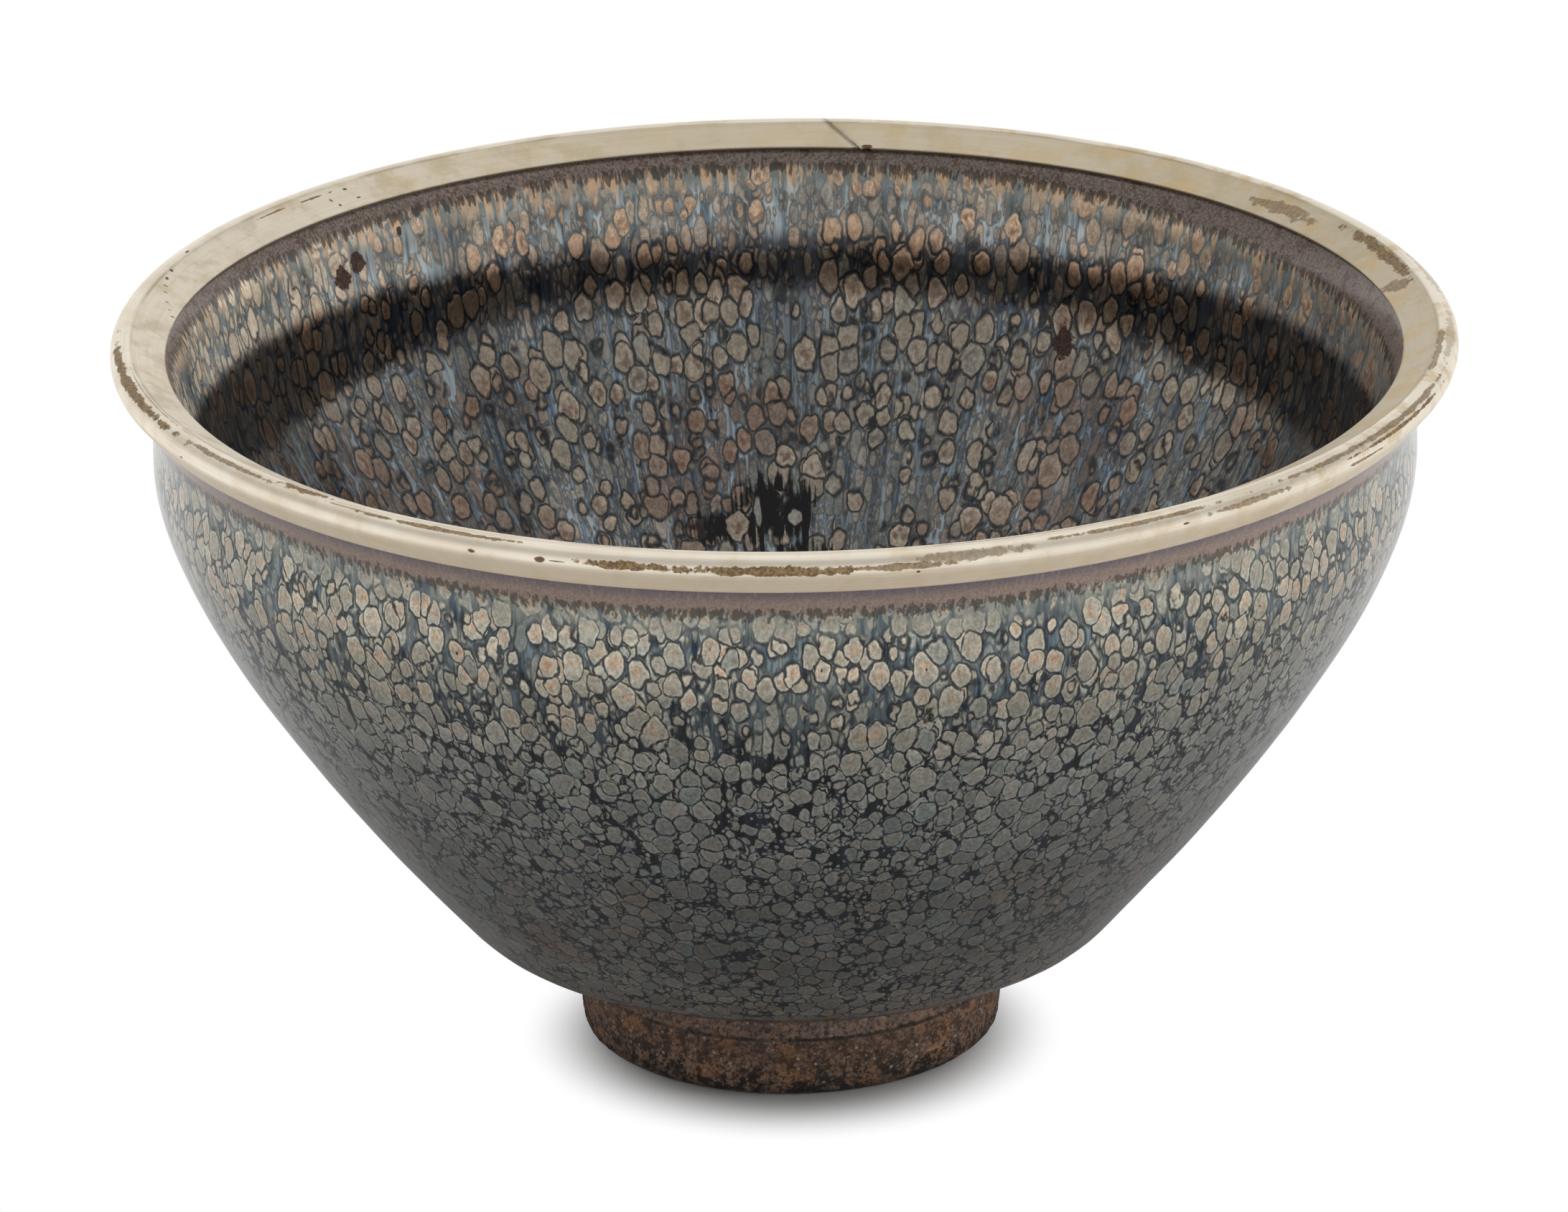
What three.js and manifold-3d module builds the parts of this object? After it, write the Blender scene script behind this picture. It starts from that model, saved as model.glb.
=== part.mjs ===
// Tenmoku tea bowl: a thrown stoneware bowl, its iron glaze, and a metal band bedded on the lip.
// Sizes are in millimetres and +Z is up. The origin is the centre of the foot ring, on the table.
// The clay is drawn first. The glaze, the lacquer and the band are laid on it, one over the other.

import * as THREE from 'three';
import { mergeVertices } from 'three/addons/utils/BufferGeometryUtils.js';
import Module from 'manifold-3d';

// Overall sizes, over the bead of the rim band
const rim_radius = 61;
const bowl_height = 68.4;

// Layers on the lip, from the clay outwards
const fit_gap = 0.05;
const clay_lip_radius = 0.32;
const glaze_lip_thickness = 0.28;
const lacquer_thickness = 0.17;
const band_thickness = 0.4;

// The lip flares outwards on its outer side and is bevelled towards the bowl on its inner side
const lip_flare_angle = THREE.MathUtils.degToRad(49);
const lip_bevel_angle = THREE.MathUtils.degToRad(25);
const outer_flange_length = 2.1;
const inner_flange_length = 3.45;
const lip_edge_margin = 0.25;

// Foot ring, cut from the thrown clay, with a shallow recess under it
const foot_radius = 19.75;
const foot_height = 5.4;
const foot_taper = 0.45;
const foot_edge_bevel = 0.6;
const shoulder_inset = 0.9;
const shoulder_height = 1.4;
const root_width = 1.1;
const root_height = 1.85;
const foot_ring_width = 3.7;
const ring_inner_bevel = 0.5;
const recess_depth = 2.6;
const recess_dome = 0.5;
const recess_fillet = 1.2;

// Clay wall, as shares of rim_radius and of bowl_height. The outer wall rises from the line where
// the turning tool stopped to the neck, and the inner wall falls from the neck to the well.
const outer_wall_shares = [
  [0.488, 0.19],
  [0.524, 0.228],
  [0.62, 0.328],
  [0.72, 0.444],
  [0.809, 0.56],
  [0.875, 0.662],
  [0.916, 0.748],
  [0.934, 0.819],
  [0.9345, 0.877],
  [0.942, 0.92],
];
const inner_wall_shares = [
  [0.91, 0.936],
  [0.9, 0.898],
  [0.8825, 0.842],
  [0.8745, 0.803],
  [0.86, 0.754],
  [0.818, 0.681],
  [0.754, 0.588],
  [0.666, 0.48],
  [0.561, 0.371],
  [0.426, 0.268],
  [0.285, 0.205],
  [0.134, 0.175],
  [0, 0.166],
];

// Glaze coat: it runs thick down to a rolled edge above the foot, and pools in the well
const glaze_edge_thickness = 0.85;
const glaze_well_thickness = 1.15;
const bare_clay_margin = 0.1;
const glaze_edge_wave = 0.25;
const wave_counts = [2, 5, 9];
const drip_azimuth = THREE.MathUtils.degToRad(-12);
const drip_spread = THREE.MathUtils.degToRad(7);
const drip_run = 0.3;
const drip_bulge = 0.45;

// Rim band: one strip, dressed over the lip into two flanges and a bead, its ends meeting in a scarf
const bead_stand = 0.08;
const seam_gap = 0.2;
const seam_azimuth = THREE.MathUtils.degToRad(82);
const seam_slant = THREE.MathUtils.degToRad(44);
const cut_overrun = 2;

// Facets
const turns = 56;
const outer_wall_steps = 10;
const inner_wall_steps = 11;
const lip_arc_steps = [1, 2, 1];
const bead_arc_steps = [2, 3, 2];
const edge_roll_steps = 3;

const glaze_surface_radius = clay_lip_radius + fit_gap + glaze_lip_thickness;
const lacquer_surface_radius = glaze_surface_radius + fit_gap + lacquer_thickness;
const bead_radius = lacquer_surface_radius + fit_gap + band_thickness;
const lip_centre = new THREE.Vector2(rim_radius - bead_radius, bowl_height - bead_radius);

// Directions in the section, as turned angles from the outward radius
const flare_normal = lip_flare_angle - Math.PI / 2;
const bevel_normal = Math.PI / 2 + lip_bevel_angle;

function direction(angle) {
  return new THREE.Vector2(Math.cos(angle), Math.sin(angle));
}

function along(point, angle, distance) {
  return point.clone().addScaledVector(direction(angle), distance);
}

function shares_to_points(shares) {
  return shares.map(([radius_share, height_share]) => {
    return new THREE.Vector2(radius_share * rim_radius, height_share * bowl_height);
  });
}

// Moves every straight stretch of an outline sideways, to the side away from the clay.
// A point on the axis stays on the axis.
function offset_path(points, distances) {
  const normals = [];
  for (let i = 1; i < points.length; i += 1) {
    const step = points[i].clone().sub(points[i - 1]).normalize();
    normals.push(new THREE.Vector2(step.y, -step.x));
  }
  return points.map((point, i) => {
    const before = normals[Math.max(i - 1, 0)];
    const after = normals[Math.min(i, normals.length - 1)];
    if (point.x === 0) {
      return new THREE.Vector2(0, point.y + distances[i]);
    }
    const mean = before.clone().add(after).normalize();
    return point.clone().addScaledVector(mean, distances[i] / mean.dot(after));
  });
}

// A value that goes evenly from one end of an outline to the other, by its length
function graded(points, first, last) {
  const lengths = [0];
  for (let i = 1; i < points.length; i += 1) {
    lengths.push(lengths[i - 1] + points[i].distanceTo(points[i - 1]));
  }
  const whole = lengths[lengths.length - 1];
  return lengths.map((length) => THREE.MathUtils.lerp(first, last, length / whole));
}

// The arc of the lip at a radius round its centre, from the outer flare to the inner bevel.
// Its steps are counted to the widest point, on to the highest, and on to the end.
function lip_arc(radius, last_angle, steps) {
  const stops = [flare_normal, 0, Math.PI / 2, last_angle];
  const points = [along(lip_centre, flare_normal, radius)];
  steps.forEach((count, stretch) => {
    for (let i = 1; i <= count; i += 1) {
      const angle = THREE.MathUtils.lerp(stops[stretch], stops[stretch + 1], i / count);
      points.push(along(lip_centre, angle, radius));
    }
  });
  return points;
}

// Lip outline at a radius, with a straight run of each flange's length at its ends.
// The bead may stand proud of the inner flange, which makes a crease beside it.
function lip_path(radius, steps, margin = 0, stand = 0) {
  const crease = bevel_normal + Math.acos((radius - stand) / radius);
  const arc = lip_arc(radius, crease, steps);
  const flare_foot = along(lip_centre, flare_normal, radius);
  const bevel_foot = along(lip_centre, bevel_normal, radius - stand);
  const outer_end = along(flare_foot, lip_flare_angle - Math.PI, outer_flange_length - margin);
  const inner_end = along(bevel_foot, lip_bevel_angle - Math.PI, inner_flange_length - margin);
  return [outer_end, ...arc, inner_end];
}

// Foot: from the axis, out under the recess, round the standing ring and up to the root
const foot_base_radius = foot_radius - foot_taper;
const ring_outer = foot_base_radius - foot_edge_bevel;
const ring_inner = ring_outer - foot_ring_width;
const recess_radius = ring_inner - ring_inner_bevel;
const root_radius = foot_radius - shoulder_inset;
const root_base = foot_height + shoulder_height;
const ledge_start = new THREE.Vector2(root_radius + root_width, root_base + root_height);

function foot_path() {
  const outline = new THREE.Path();
  outline.moveTo(0, recess_depth + recess_dome);
  outline.lineTo(recess_radius - recess_fillet, recess_depth);
  outline.lineTo(recess_radius, recess_depth - recess_fillet);
  outline.lineTo(recess_radius, ring_inner_bevel);
  outline.lineTo(ring_inner, 0);
  outline.lineTo(ring_outer, 0);
  outline.lineTo(foot_base_radius, foot_edge_bevel);
  outline.lineTo(foot_radius, foot_height);
  outline.lineTo(root_radius, root_base);
  outline.quadraticCurveTo(root_radius, ledge_start.y - root_width, ledge_start.x, ledge_start.y);
  return outline.getPoints(2);
}

// Clay surface that the glaze covers, in four stretches that share their end points
const outer_wall = shares_to_points(outer_wall_shares);
const inner_wall = shares_to_points(inner_wall_shares);
const cut_line = outer_wall[0];
const ledge_slope = cut_line.clone().sub(ledge_start).angle();
const glaze_edge_reach = glaze_edge_thickness / 2 + glaze_edge_wave + drip_run;
const glaze_edge = along(ledge_start, ledge_slope, bare_clay_margin + glaze_edge_reach);
const ledge_middle = glaze_edge.clone().lerp(cut_line, 1 / 2);

const clay_lip = lip_path(clay_lip_radius, lip_arc_steps, lip_edge_margin);
const outer_spline = new THREE.SplineCurve([...outer_wall, clay_lip[0]]);
const inner_spline = new THREE.SplineCurve([clay_lip[clay_lip.length - 1], ...inner_wall]);
const clay_outer = outer_spline.getPoints(outer_wall_steps);
const clay_inner = inner_spline.getPoints(inner_wall_steps);
clay_inner[clay_inner.length - 1].x = 0;

const lip_middle = clay_lip.slice(1, -1);
const outer_part = [glaze_edge, ledge_middle, ...clay_outer];
const clay_surface = [...outer_part, ...lip_middle, ...clay_inner];

// A turned solid. Its outline ends on the axis or closes on itself.
function turned(points) {
  const geometry = new THREE.LatheGeometry(points, turns);
  geometry.rotateX(Math.PI / 2);
  geometry.deleteAttribute('normal');
  geometry.deleteAttribute('uv');
  return geometry;
}

function piece(name, geometry, material) {
  geometry.computeVertexNormals();
  const mesh = new THREE.Mesh(geometry, material);
  mesh.name = name;
  return mesh;
}

function stoneware_body() {
  const points = [...foot_path(), ...clay_surface];
  const clay = new THREE.MeshStandardMaterial({ color: 0x4b392b, roughness: 0.9, metalness: 0 });
  return piece('stoneware_body', turned(points), clay);
}

// How far the glaze runs past its mean edge, and how much thicker it is there
function edge_run(azimuth) {
  const waves = wave_counts.map((count) => Math.sin(count * azimuth + count) / wave_counts.length);
  return glaze_edge_wave * waves.reduce((sum, wave) => sum + wave, 0);
}

function drip_shape(azimuth) {
  const turn = Math.atan2(Math.sin(azimuth - drip_azimuth), Math.cos(azimuth - drip_azimuth));
  return Math.exp(-((turn / drip_spread) ** 2));
}

// Slides the rolled edge along the ledge and swells the drip, azimuth by azimuth.
// The outline goes from the coat's underside, round the roll, to its skin and the ledge's middle.
function shape_glaze_edge(geometry, outline, underside_edge) {
  const position = geometry.getAttribute('position');
  const slope = direction(ledge_slope);
  const normal = direction(ledge_slope - Math.PI / 2);
  const skin_edge = underside_edge + edge_roll_steps + 1;
  for (let i = 0; i < position.count; i += 1) {
    const place = i % outline.length;
    if (place >= underside_edge && place <= skin_edge + 1) {
      const azimuth = Math.atan2(position.getY(i), position.getX(i));
      const drip = drip_shape(azimuth);
      const on_roll = place <= skin_edge;
      const run = on_roll ? edge_run(azimuth) + drip_run * drip : 0;
      const swell_share = on_roll ? (place - underside_edge) / (skin_edge - underside_edge) : 1 / 2;
      const swell = swell_share * drip_bulge * drip;
      const radius = outline[place].x - run * slope.x + swell * normal.x;
      const height = outline[place].y - run * slope.y + swell * normal.y;
      position.setXYZ(i, radius * Math.cos(azimuth), radius * Math.sin(azimuth), height);
    }
  }
}

function glaze_coat() {
  const outer_grade = graded(outer_part, glaze_edge_thickness, glaze_lip_thickness);
  const inner_grade = graded(clay_inner, glaze_lip_thickness, glaze_well_thickness);
  const lip_grade = lip_middle.map(() => glaze_lip_thickness);
  const thicknesses = [...outer_grade, ...lip_grade, ...inner_grade];
  const underside = offset_path(clay_surface, thicknesses.map(() => fit_gap));
  const skin = offset_path(clay_surface, thicknesses.map((thickness) => fit_gap + thickness));

  const edge_centre = skin[0].clone().lerp(underside[0], 1 / 2);
  const edge_radius = skin[0].distanceTo(underside[0]) / 2;
  const roll = [];
  for (let i = 1; i <= edge_roll_steps; i += 1) {
    const turn = (Math.PI * i) / (edge_roll_steps + 1);
    roll.push(along(edge_centre, ledge_slope + Math.PI / 2 + turn, edge_radius));
  }
  const outline = [...underside.reverse(), ...roll, ...skin];
  const geometry = turned(outline);
  shape_glaze_edge(geometry, outline, underside.length - 1);
  const glaze = new THREE.MeshStandardMaterial({ color: 0x4d5552, roughness: 0.18, metalness: 0 });
  return piece('glaze_coat', geometry, glaze);
}

// A layer on the lip between two outlines, closed on itself
function lip_layer(inside, outside) {
  return [...outside, ...inside.reverse(), outside[0].clone()];
}

function rim_lacquer() {
  const inside = lip_path(glaze_surface_radius + fit_gap, lip_arc_steps, lip_edge_margin);
  const outside = lip_path(lacquer_surface_radius, lip_arc_steps, lip_edge_margin);
  const lacquer = new THREE.MeshStandardMaterial({ color: 0x1d1512, roughness: 0.5, metalness: 0 });
  return piece('rim_lacquer', turned(lip_layer(inside, outside)), lacquer);
}

const wasm = await Module();
wasm.setup();

function to_solid(geometry) {
  const merged = mergeVertices(geometry);
  const vertProperties = new Float32Array(merged.getAttribute('position').array);
  const triVerts = new Uint32Array(merged.getIndex().array);
  return new wasm.Manifold(new wasm.Mesh({ numProp: 3, vertProperties, triVerts }));
}

function from_solid(solid) {
  const mesh = solid.getMesh();
  const geometry = new THREE.BufferGeometry();
  geometry.setAttribute('position', new THREE.BufferAttribute(mesh.vertProperties, 3));
  geometry.setIndex(new THREE.BufferAttribute(mesh.triVerts, 1));
  return geometry;
}

// The blade that parts the strip's two ends, standing across the lip and turned off the radius
function seam_blade() {
  const strip_reach = outer_flange_length + inner_flange_length + 2 * bead_radius + cut_overrun;
  const blade = new THREE.BoxGeometry(2 * strip_reach, seam_gap, 2 * strip_reach);
  const seam_radius = lip_centre.x - inner_flange_length / 2;
  blade.rotateZ(seam_azimuth + seam_slant);
  blade.translate(
    seam_radius * Math.cos(seam_azimuth),
    seam_radius * Math.sin(seam_azimuth),
    lip_centre.y,
  );
  blade.deleteAttribute('normal');
  blade.deleteAttribute('uv');
  return blade;
}

function rim_band() {
  const inside = lip_path(lacquer_surface_radius + fit_gap, lip_arc_steps);
  const outside = lip_path(bead_radius, bead_arc_steps, 0, bead_stand);
  const whole = to_solid(turned(lip_layer(inside, outside)));
  const parted = whole.subtract(to_solid(seam_blade()));
  const metal = new THREE.MeshStandardMaterial({ color: 0xc8b491, roughness: 0.32, metalness: 1 });
  return piece('rim_band', from_solid(parted), metal);
}

const tea_bowl = new THREE.Group();
tea_bowl.add(stoneware_body(), glaze_coat(), rim_lacquer(), rim_band());

export default tea_bowl;
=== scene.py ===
import functools
import math
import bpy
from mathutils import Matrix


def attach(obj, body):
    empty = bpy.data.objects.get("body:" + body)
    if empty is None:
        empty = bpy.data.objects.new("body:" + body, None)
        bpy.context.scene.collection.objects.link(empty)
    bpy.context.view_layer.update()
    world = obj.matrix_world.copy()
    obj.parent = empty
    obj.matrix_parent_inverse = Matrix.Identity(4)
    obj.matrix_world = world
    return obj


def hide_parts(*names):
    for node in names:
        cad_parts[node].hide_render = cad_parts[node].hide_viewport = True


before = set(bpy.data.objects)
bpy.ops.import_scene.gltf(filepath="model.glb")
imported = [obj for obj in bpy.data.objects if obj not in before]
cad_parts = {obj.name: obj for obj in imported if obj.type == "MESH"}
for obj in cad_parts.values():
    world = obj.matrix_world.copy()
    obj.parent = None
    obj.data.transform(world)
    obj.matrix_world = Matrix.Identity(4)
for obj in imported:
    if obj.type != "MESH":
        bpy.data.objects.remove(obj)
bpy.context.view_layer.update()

from types import SimpleNamespace

import bmesh
import bpy
import numpy as np
from mathutils import Matrix, Vector

MM = 0.001

# Sizes in millimetres, the same as in the part's source. A place in the section is a radius and a height
RIM_RADIUS, BOWL_HEIGHT = 61.0, 68.4
FIT_GAP = 0.05
CLAY_LIP_RADIUS, GLAZE_LIP_THICKNESS, LACQUER_THICKNESS, BAND_THICKNESS = 0.32, 0.28, 0.17, 0.4
LIP_FLARE, LIP_BEVEL = math.radians(49), math.radians(25)
OUTER_FLANGE, INNER_FLANGE, LIP_EDGE_MARGIN, BEAD_STAND = 2.1, 3.45, 0.25, 0.08
FOOT_RADIUS, FOOT_HEIGHT, FOOT_TAPER, FOOT_EDGE_BEVEL = 19.75, 5.4, 0.45, 0.6
SHOULDER_INSET, SHOULDER_HEIGHT, ROOT_WIDTH, ROOT_HEIGHT = 0.9, 1.4, 1.1, 1.85
FOOT_RING_WIDTH, RING_INNER_BEVEL = 3.7, 0.5
RECESS_DEPTH, RECESS_DOME, RECESS_FILLET = 2.6, 0.5, 1.2
GLAZE_EDGE_THICKNESS, GLAZE_WELL_THICKNESS, BARE_CLAY_MARGIN = 0.85, 1.15, 0.1
GLAZE_EDGE_WAVE, WAVE_COUNTS = 0.25, (2, 5, 9)
DRIP_AZIMUTH, DRIP_SPREAD, DRIP_RUN, DRIP_BULGE = math.radians(-12), math.radians(7), 0.3, 0.45

# The seam lies 2 degrees further round than in the source, nearer to its place in the photograph
SEAM_AZIMUTH, SEAM_SLANT, SEAM_GAP = math.radians(84), math.radians(44), 0.2

# The walls through shares of the rim's radius and of the height, outside upwards and inside downwards
OUTER_WALL_SHARES = (
    (0.488, 0.19), (0.524, 0.228), (0.62, 0.328), (0.72, 0.444), (0.809, 0.56),
    (0.875, 0.662), (0.916, 0.748), (0.934, 0.819), (0.9345, 0.877), (0.942, 0.92),
)
INNER_WALL_SHARES = (
    (0.91, 0.936), (0.9, 0.898), (0.8825, 0.842), (0.8745, 0.803), (0.86, 0.754),
    (0.818, 0.681), (0.754, 0.588), (0.666, 0.48), (0.561, 0.371), (0.426, 0.268),
    (0.285, 0.205), (0.134, 0.175), (0.0, 0.166),
)

GLAZE_SURFACE_RADIUS = CLAY_LIP_RADIUS + FIT_GAP + GLAZE_LIP_THICKNESS
LACQUER_SURFACE_RADIUS = GLAZE_SURFACE_RADIUS + FIT_GAP + LACQUER_THICKNESS
BEAD_RADIUS = LACQUER_SURFACE_RADIUS + FIT_GAP + BAND_THICKNESS
LIP_CENTRE = np.array([RIM_RADIUS - BEAD_RADIUS, BOWL_HEIGHT - BEAD_RADIUS])
FLARE_NORMAL, BEVEL_NORMAL = LIP_FLARE - math.pi / 2, math.pi / 2 + LIP_BEVEL

# How finely the lines of the section are stepped, in millimetres, and into how many facets each is turned
WALL_STEP, CLAY_LIP_STEP, FOOT_STEP, BEAD_STEP, HIDDEN_STEP = 0.66, 0.1, 0.28, 0.16, 0.4
STONEWARE_TURNS, GLAZE_TURNS, LACQUER_TURNS, BAND_TURNS = 360, 240, 240, 480

# Camera, worked back from the outlines of the rim, the wall and the foot
CAMERA_DISTANCE, CAMERA_RISE = 811.5, math.radians(23.68)
CAMERA_PITCH, CAMERA_YAW, CAMERA_ROLL = math.radians(20.997), math.radians(-0.014), math.radians(-0.627)
CAMERA_ASIDE = -0.096
PHOTO_WIDTH, SENSOR_WIDTH, FOCAL_PIXELS = 2184, 36.0, 12081.5


# Node trees

class Field:
    """A value in a node tree. Sums and products with numbers and other fields add the nodes for them."""

    def __init__(self, socket):
        self.socket, self.tree = socket, socket.id_data

    def math(self, operation, *others):
        made = node(self.tree, "ShaderNodeMath", operation=operation)
        for place, value in enumerate((self, *others)):
            plug(made.inputs[place], value)
        return out(made)

    def __add__(self, other):
        return self.math("ADD", other)

    def __sub__(self, other):
        return self.math("SUBTRACT", other)

    def __mul__(self, other):
        return self.math("MULTIPLY", other)

    def __truediv__(self, other):
        return self.math("DIVIDE", other)

    def __rsub__(self, other):
        return (self * -1) + other

    __radd__ = __add__
    __rmul__ = __mul__

    def least(self, other):
        return self.math("MINIMUM", other)

    def most(self, other):
        return self.math("MAXIMUM", other)

    def round_least(self, other, width):
        return self.math("SMOOTH_MIN", other, width)

    def ramp(self, low, high, first=0.0, last=1.0):
        """From first at low to last at high, eased, and level past them."""
        return out(node(self.tree, "ShaderNodeMapRange", {
            0: self, 1: low, 2: high, 3: first, 4: last,
        }, interpolation_type="SMOOTHSTEP"))

    def hump(self, low, high, fading, gone):
        """From 0 at low to 1 at high, and from 1 at fading back to 0."""
        return self.ramp(low, high) * (1 - self.ramp(fading, gone))


def plug(socket, value):
    if isinstance(value, Field):
        socket.id_data.links.new(value.socket, socket)
    else:
        socket.default_value = value


def node(tree, kind, sockets=None, **settings):
    made = tree.nodes.new(kind)
    for name, value in settings.items():
        setattr(made, name, value)
    for name, value in (sockets or {}).items():
        plug(made.inputs[name], value)
    return made


def out(made, name=0):
    return Field(made.outputs[name])


def tree_of(*values):
    """The tree of the first field among the values."""
    return next(value.tree for value in values if isinstance(value, Field))


def strongest(shares):
    """The greatest of several fields."""
    return functools.reduce(Field.most, shares)


def vector_math(operation, *values, scale=None, result=0):
    made = node(tree_of(*values, scale), "ShaderNodeVectorMath", operation=operation)
    for place, value in enumerate(values):
        plug(made.inputs[place], value)
    if scale is not None:
        plug(made.inputs["Scale"], scale)
    return out(made, result)


def scaled(vector, factor):
    return vector_math("SCALE", vector, scale=factor)


def combined(x, y, z):
    return out(node(tree_of(x, y, z), "ShaderNodeCombineXYZ", {0: x, 1: y, 2: z}))


def split(vector):
    made = node(vector.tree, "ShaderNodeSeparateXYZ", {0: vector})
    return [out(made, place) for place in range(3)]


def noise(place, scale, detail=2.0, roughness=0.5, colour=False):
    made = node(place.tree, "ShaderNodeTexNoise", {
        "Vector": place, "Scale": scale, "Detail": detail, "Roughness": roughness,
    })
    return out(made, 1 if colour else 0)


def voronoi(place, feature="F1"):
    return node(place.tree, "ShaderNodeTexVoronoi", {
        "Vector": place, "Scale": 1.0, "Randomness": 0.9,
    }, feature=feature)


# Colours are written as seen on screen, three values from 0 to 255. A tint, with a fourth, is linear

def linear(red, green, blue):
    """A colour on screen as the linear value that a socket takes."""
    return (*[
        c / 12.92 if c <= 0.04045 else ((c + 0.055) / 1.055) ** 2.4
        for c in (red / 255, green / 255, blue / 255)
    ], 1.0)


def mixed(share, first, second, blend="MIX"):
    """Two colours, the second by its share."""
    made = node(tree_of(share, first, second), "ShaderNodeMix",
                data_type="RGBA", blend_type=blend, clamp_factor=True)
    for place, value in ((0, share), (6, first), (7, second)):
        on_screen = isinstance(value, tuple) and len(value) == 3
        plug(made.inputs[place], linear(*value) if on_screen else value)
    return out(made, 2)


def painted(colour, *coats):
    """A colour with coats laid over it in turn, each a share and a colour."""
    for share, coat in coats:
        colour = mixed(share, colour, coat)
    return colour


def tinted(colour, tint):
    return mixed(1.0, colour, tint, "MULTIPLY")


def colour_ramp(share, stops):
    """Colours at rising places, blended evenly between them."""
    made = node(share.tree, "ShaderNodeValToRGB", {0: share})
    ramp = made.color_ramp
    while len(ramp.elements) < len(stops):
        ramp.elements.new(1.0)
    for element, (place, colour) in zip(ramp.elements, stops):
        element.position = place
        element.color = linear(*colour)
    return out(made)


# Lines in the section

def direction(angle):
    return np.array([math.cos(angle), math.sin(angle)])


def arc(centre, radius, first, last, steps):
    angles = np.linspace(first, last, steps + 1)
    return centre + radius * np.stack([np.cos(angles), np.sin(angles)], 1)


def lengths_along(points):
    steps = np.linalg.norm(np.diff(points, axis=0), axis=1)
    return np.concatenate([[0.0], np.cumsum(steps)])


def respaced(points, step):
    """The same line with points about a step apart, its ends kept."""
    along = lengths_along(points)
    count = max(1, round(along[-1] / step))
    at = np.linspace(0, along[-1], count + 1)
    return np.stack([np.interp(at, along, column) for column in points.T], 1)


def smooth_line(points, step):
    """A line of even curvature through the points: a natural cubic spline over their chord lengths."""
    points = np.asarray(points, float)
    at = lengths_along(points)
    gaps = np.diff(at)
    count = len(points)
    system, goal = np.eye(count), np.zeros((count, 2))
    for i in range(1, count - 1):
        system[i, i - 1:i + 2] = gaps[i - 1], 2 * (gaps[i - 1] + gaps[i]), gaps[i]
        rise = (points[i + 1] - points[i]) / gaps[i] - (points[i] - points[i - 1]) / gaps[i - 1]
        goal[i] = 6 * rise
    bend = np.linalg.solve(system, goal)
    fine = np.linspace(0, at[-1], max(2, int(at[-1] / step)) * 4)
    span = np.clip(np.searchsorted(at, fine) - 1, 0, count - 2)
    width, low = gaps[span][:, None], (fine - at[span])[:, None]
    high = width - low
    line = (
        (bend[span] * high ** 3 + bend[span + 1] * low ** 3) / (6 * width)
        + (points[span] / width - bend[span] * width / 6) * high
        + (points[span + 1] / width - bend[span + 1] * width / 6) * low
    )
    return respaced(line, step)


def offset(points, distances):
    """Every point moved square to the line, to its right-hand side. A point on the axis stays on it."""
    ahead = np.gradient(points, axis=0)
    ahead /= np.linalg.norm(ahead, axis=1)[:, None]
    side = np.stack([ahead[:, 1], -ahead[:, 0]], 1)
    moved = points + side * distances[:, None]
    on_axis = points[:, 0] == 0
    moved[on_axis] = points[on_axis] + np.stack([np.zeros(on_axis.sum()), distances[on_axis]], 1)
    return moved


def eased(points, passes, first, last):
    """Rounds the corners between two of the line's points."""
    points = points.copy()
    for _ in range(passes):
        points[first + 1:last] = (
            points[first:last - 1] + 2 * points[first + 1:last] + points[first + 2:last + 1]
        ) / 4
    return points


def lip_path(radius, step, margin=0.0, stand=0.0):
    """The lip's outline at a radius, from the end of the outer flange over the bead to the inner one's."""
    crease = BEVEL_NORMAL + math.acos((radius - stand) / radius)
    steps = max(6, round(radius * (crease - FLARE_NORMAL) / step))
    bead = arc(LIP_CENTRE, radius, FLARE_NORMAL, crease, steps)
    bevel_foot = LIP_CENTRE + direction(BEVEL_NORMAL) * (radius - stand)
    outer_end = bead[0] + direction(LIP_FLARE - math.pi) * (OUTER_FLANGE - margin)
    inner_end = bevel_foot + direction(LIP_BEVEL - math.pi) * (INNER_FLANGE - margin)
    outer = respaced(np.array([outer_end, bead[0]]), step)
    inner = respaced(np.array([bead[-1], inner_end]), step)
    return np.concatenate([outer[:-1], bead, inner[1:]])


FOOT_BASE_RADIUS = FOOT_RADIUS - FOOT_TAPER
RING_OUTER = FOOT_BASE_RADIUS - FOOT_EDGE_BEVEL
RING_INNER = RING_OUTER - FOOT_RING_WIDTH
RECESS_RADIUS = RING_INNER - RING_INNER_BEVEL
ROOT_RADIUS = FOOT_RADIUS - SHOULDER_INSET
ROOT_BASE = FOOT_HEIGHT + SHOULDER_HEIGHT
LEDGE_START = np.array([ROOT_RADIUS + ROOT_WIDTH, ROOT_BASE + ROOT_HEIGHT])

OUTER_WALL = np.array(OUTER_WALL_SHARES) * (RIM_RADIUS, BOWL_HEIGHT)
INNER_WALL = np.array(INNER_WALL_SHARES) * (RIM_RADIUS, BOWL_HEIGHT)
CUT_LINE = OUTER_WALL[0]
LEDGE_SLOPE = math.atan2(*(CUT_LINE - LEDGE_START)[::-1])
GLAZE_EDGE_REACH = GLAZE_EDGE_THICKNESS / 2 + GLAZE_EDGE_WAVE + DRIP_RUN
GLAZE_EDGE = LEDGE_START + direction(LEDGE_SLOPE) * (BARE_CLAY_MARGIN + GLAZE_EDGE_REACH)
BEAD_END = OUTER_FLANGE + BEAD_RADIUS * (BEVEL_NORMAL - FLARE_NORMAL)

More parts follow.
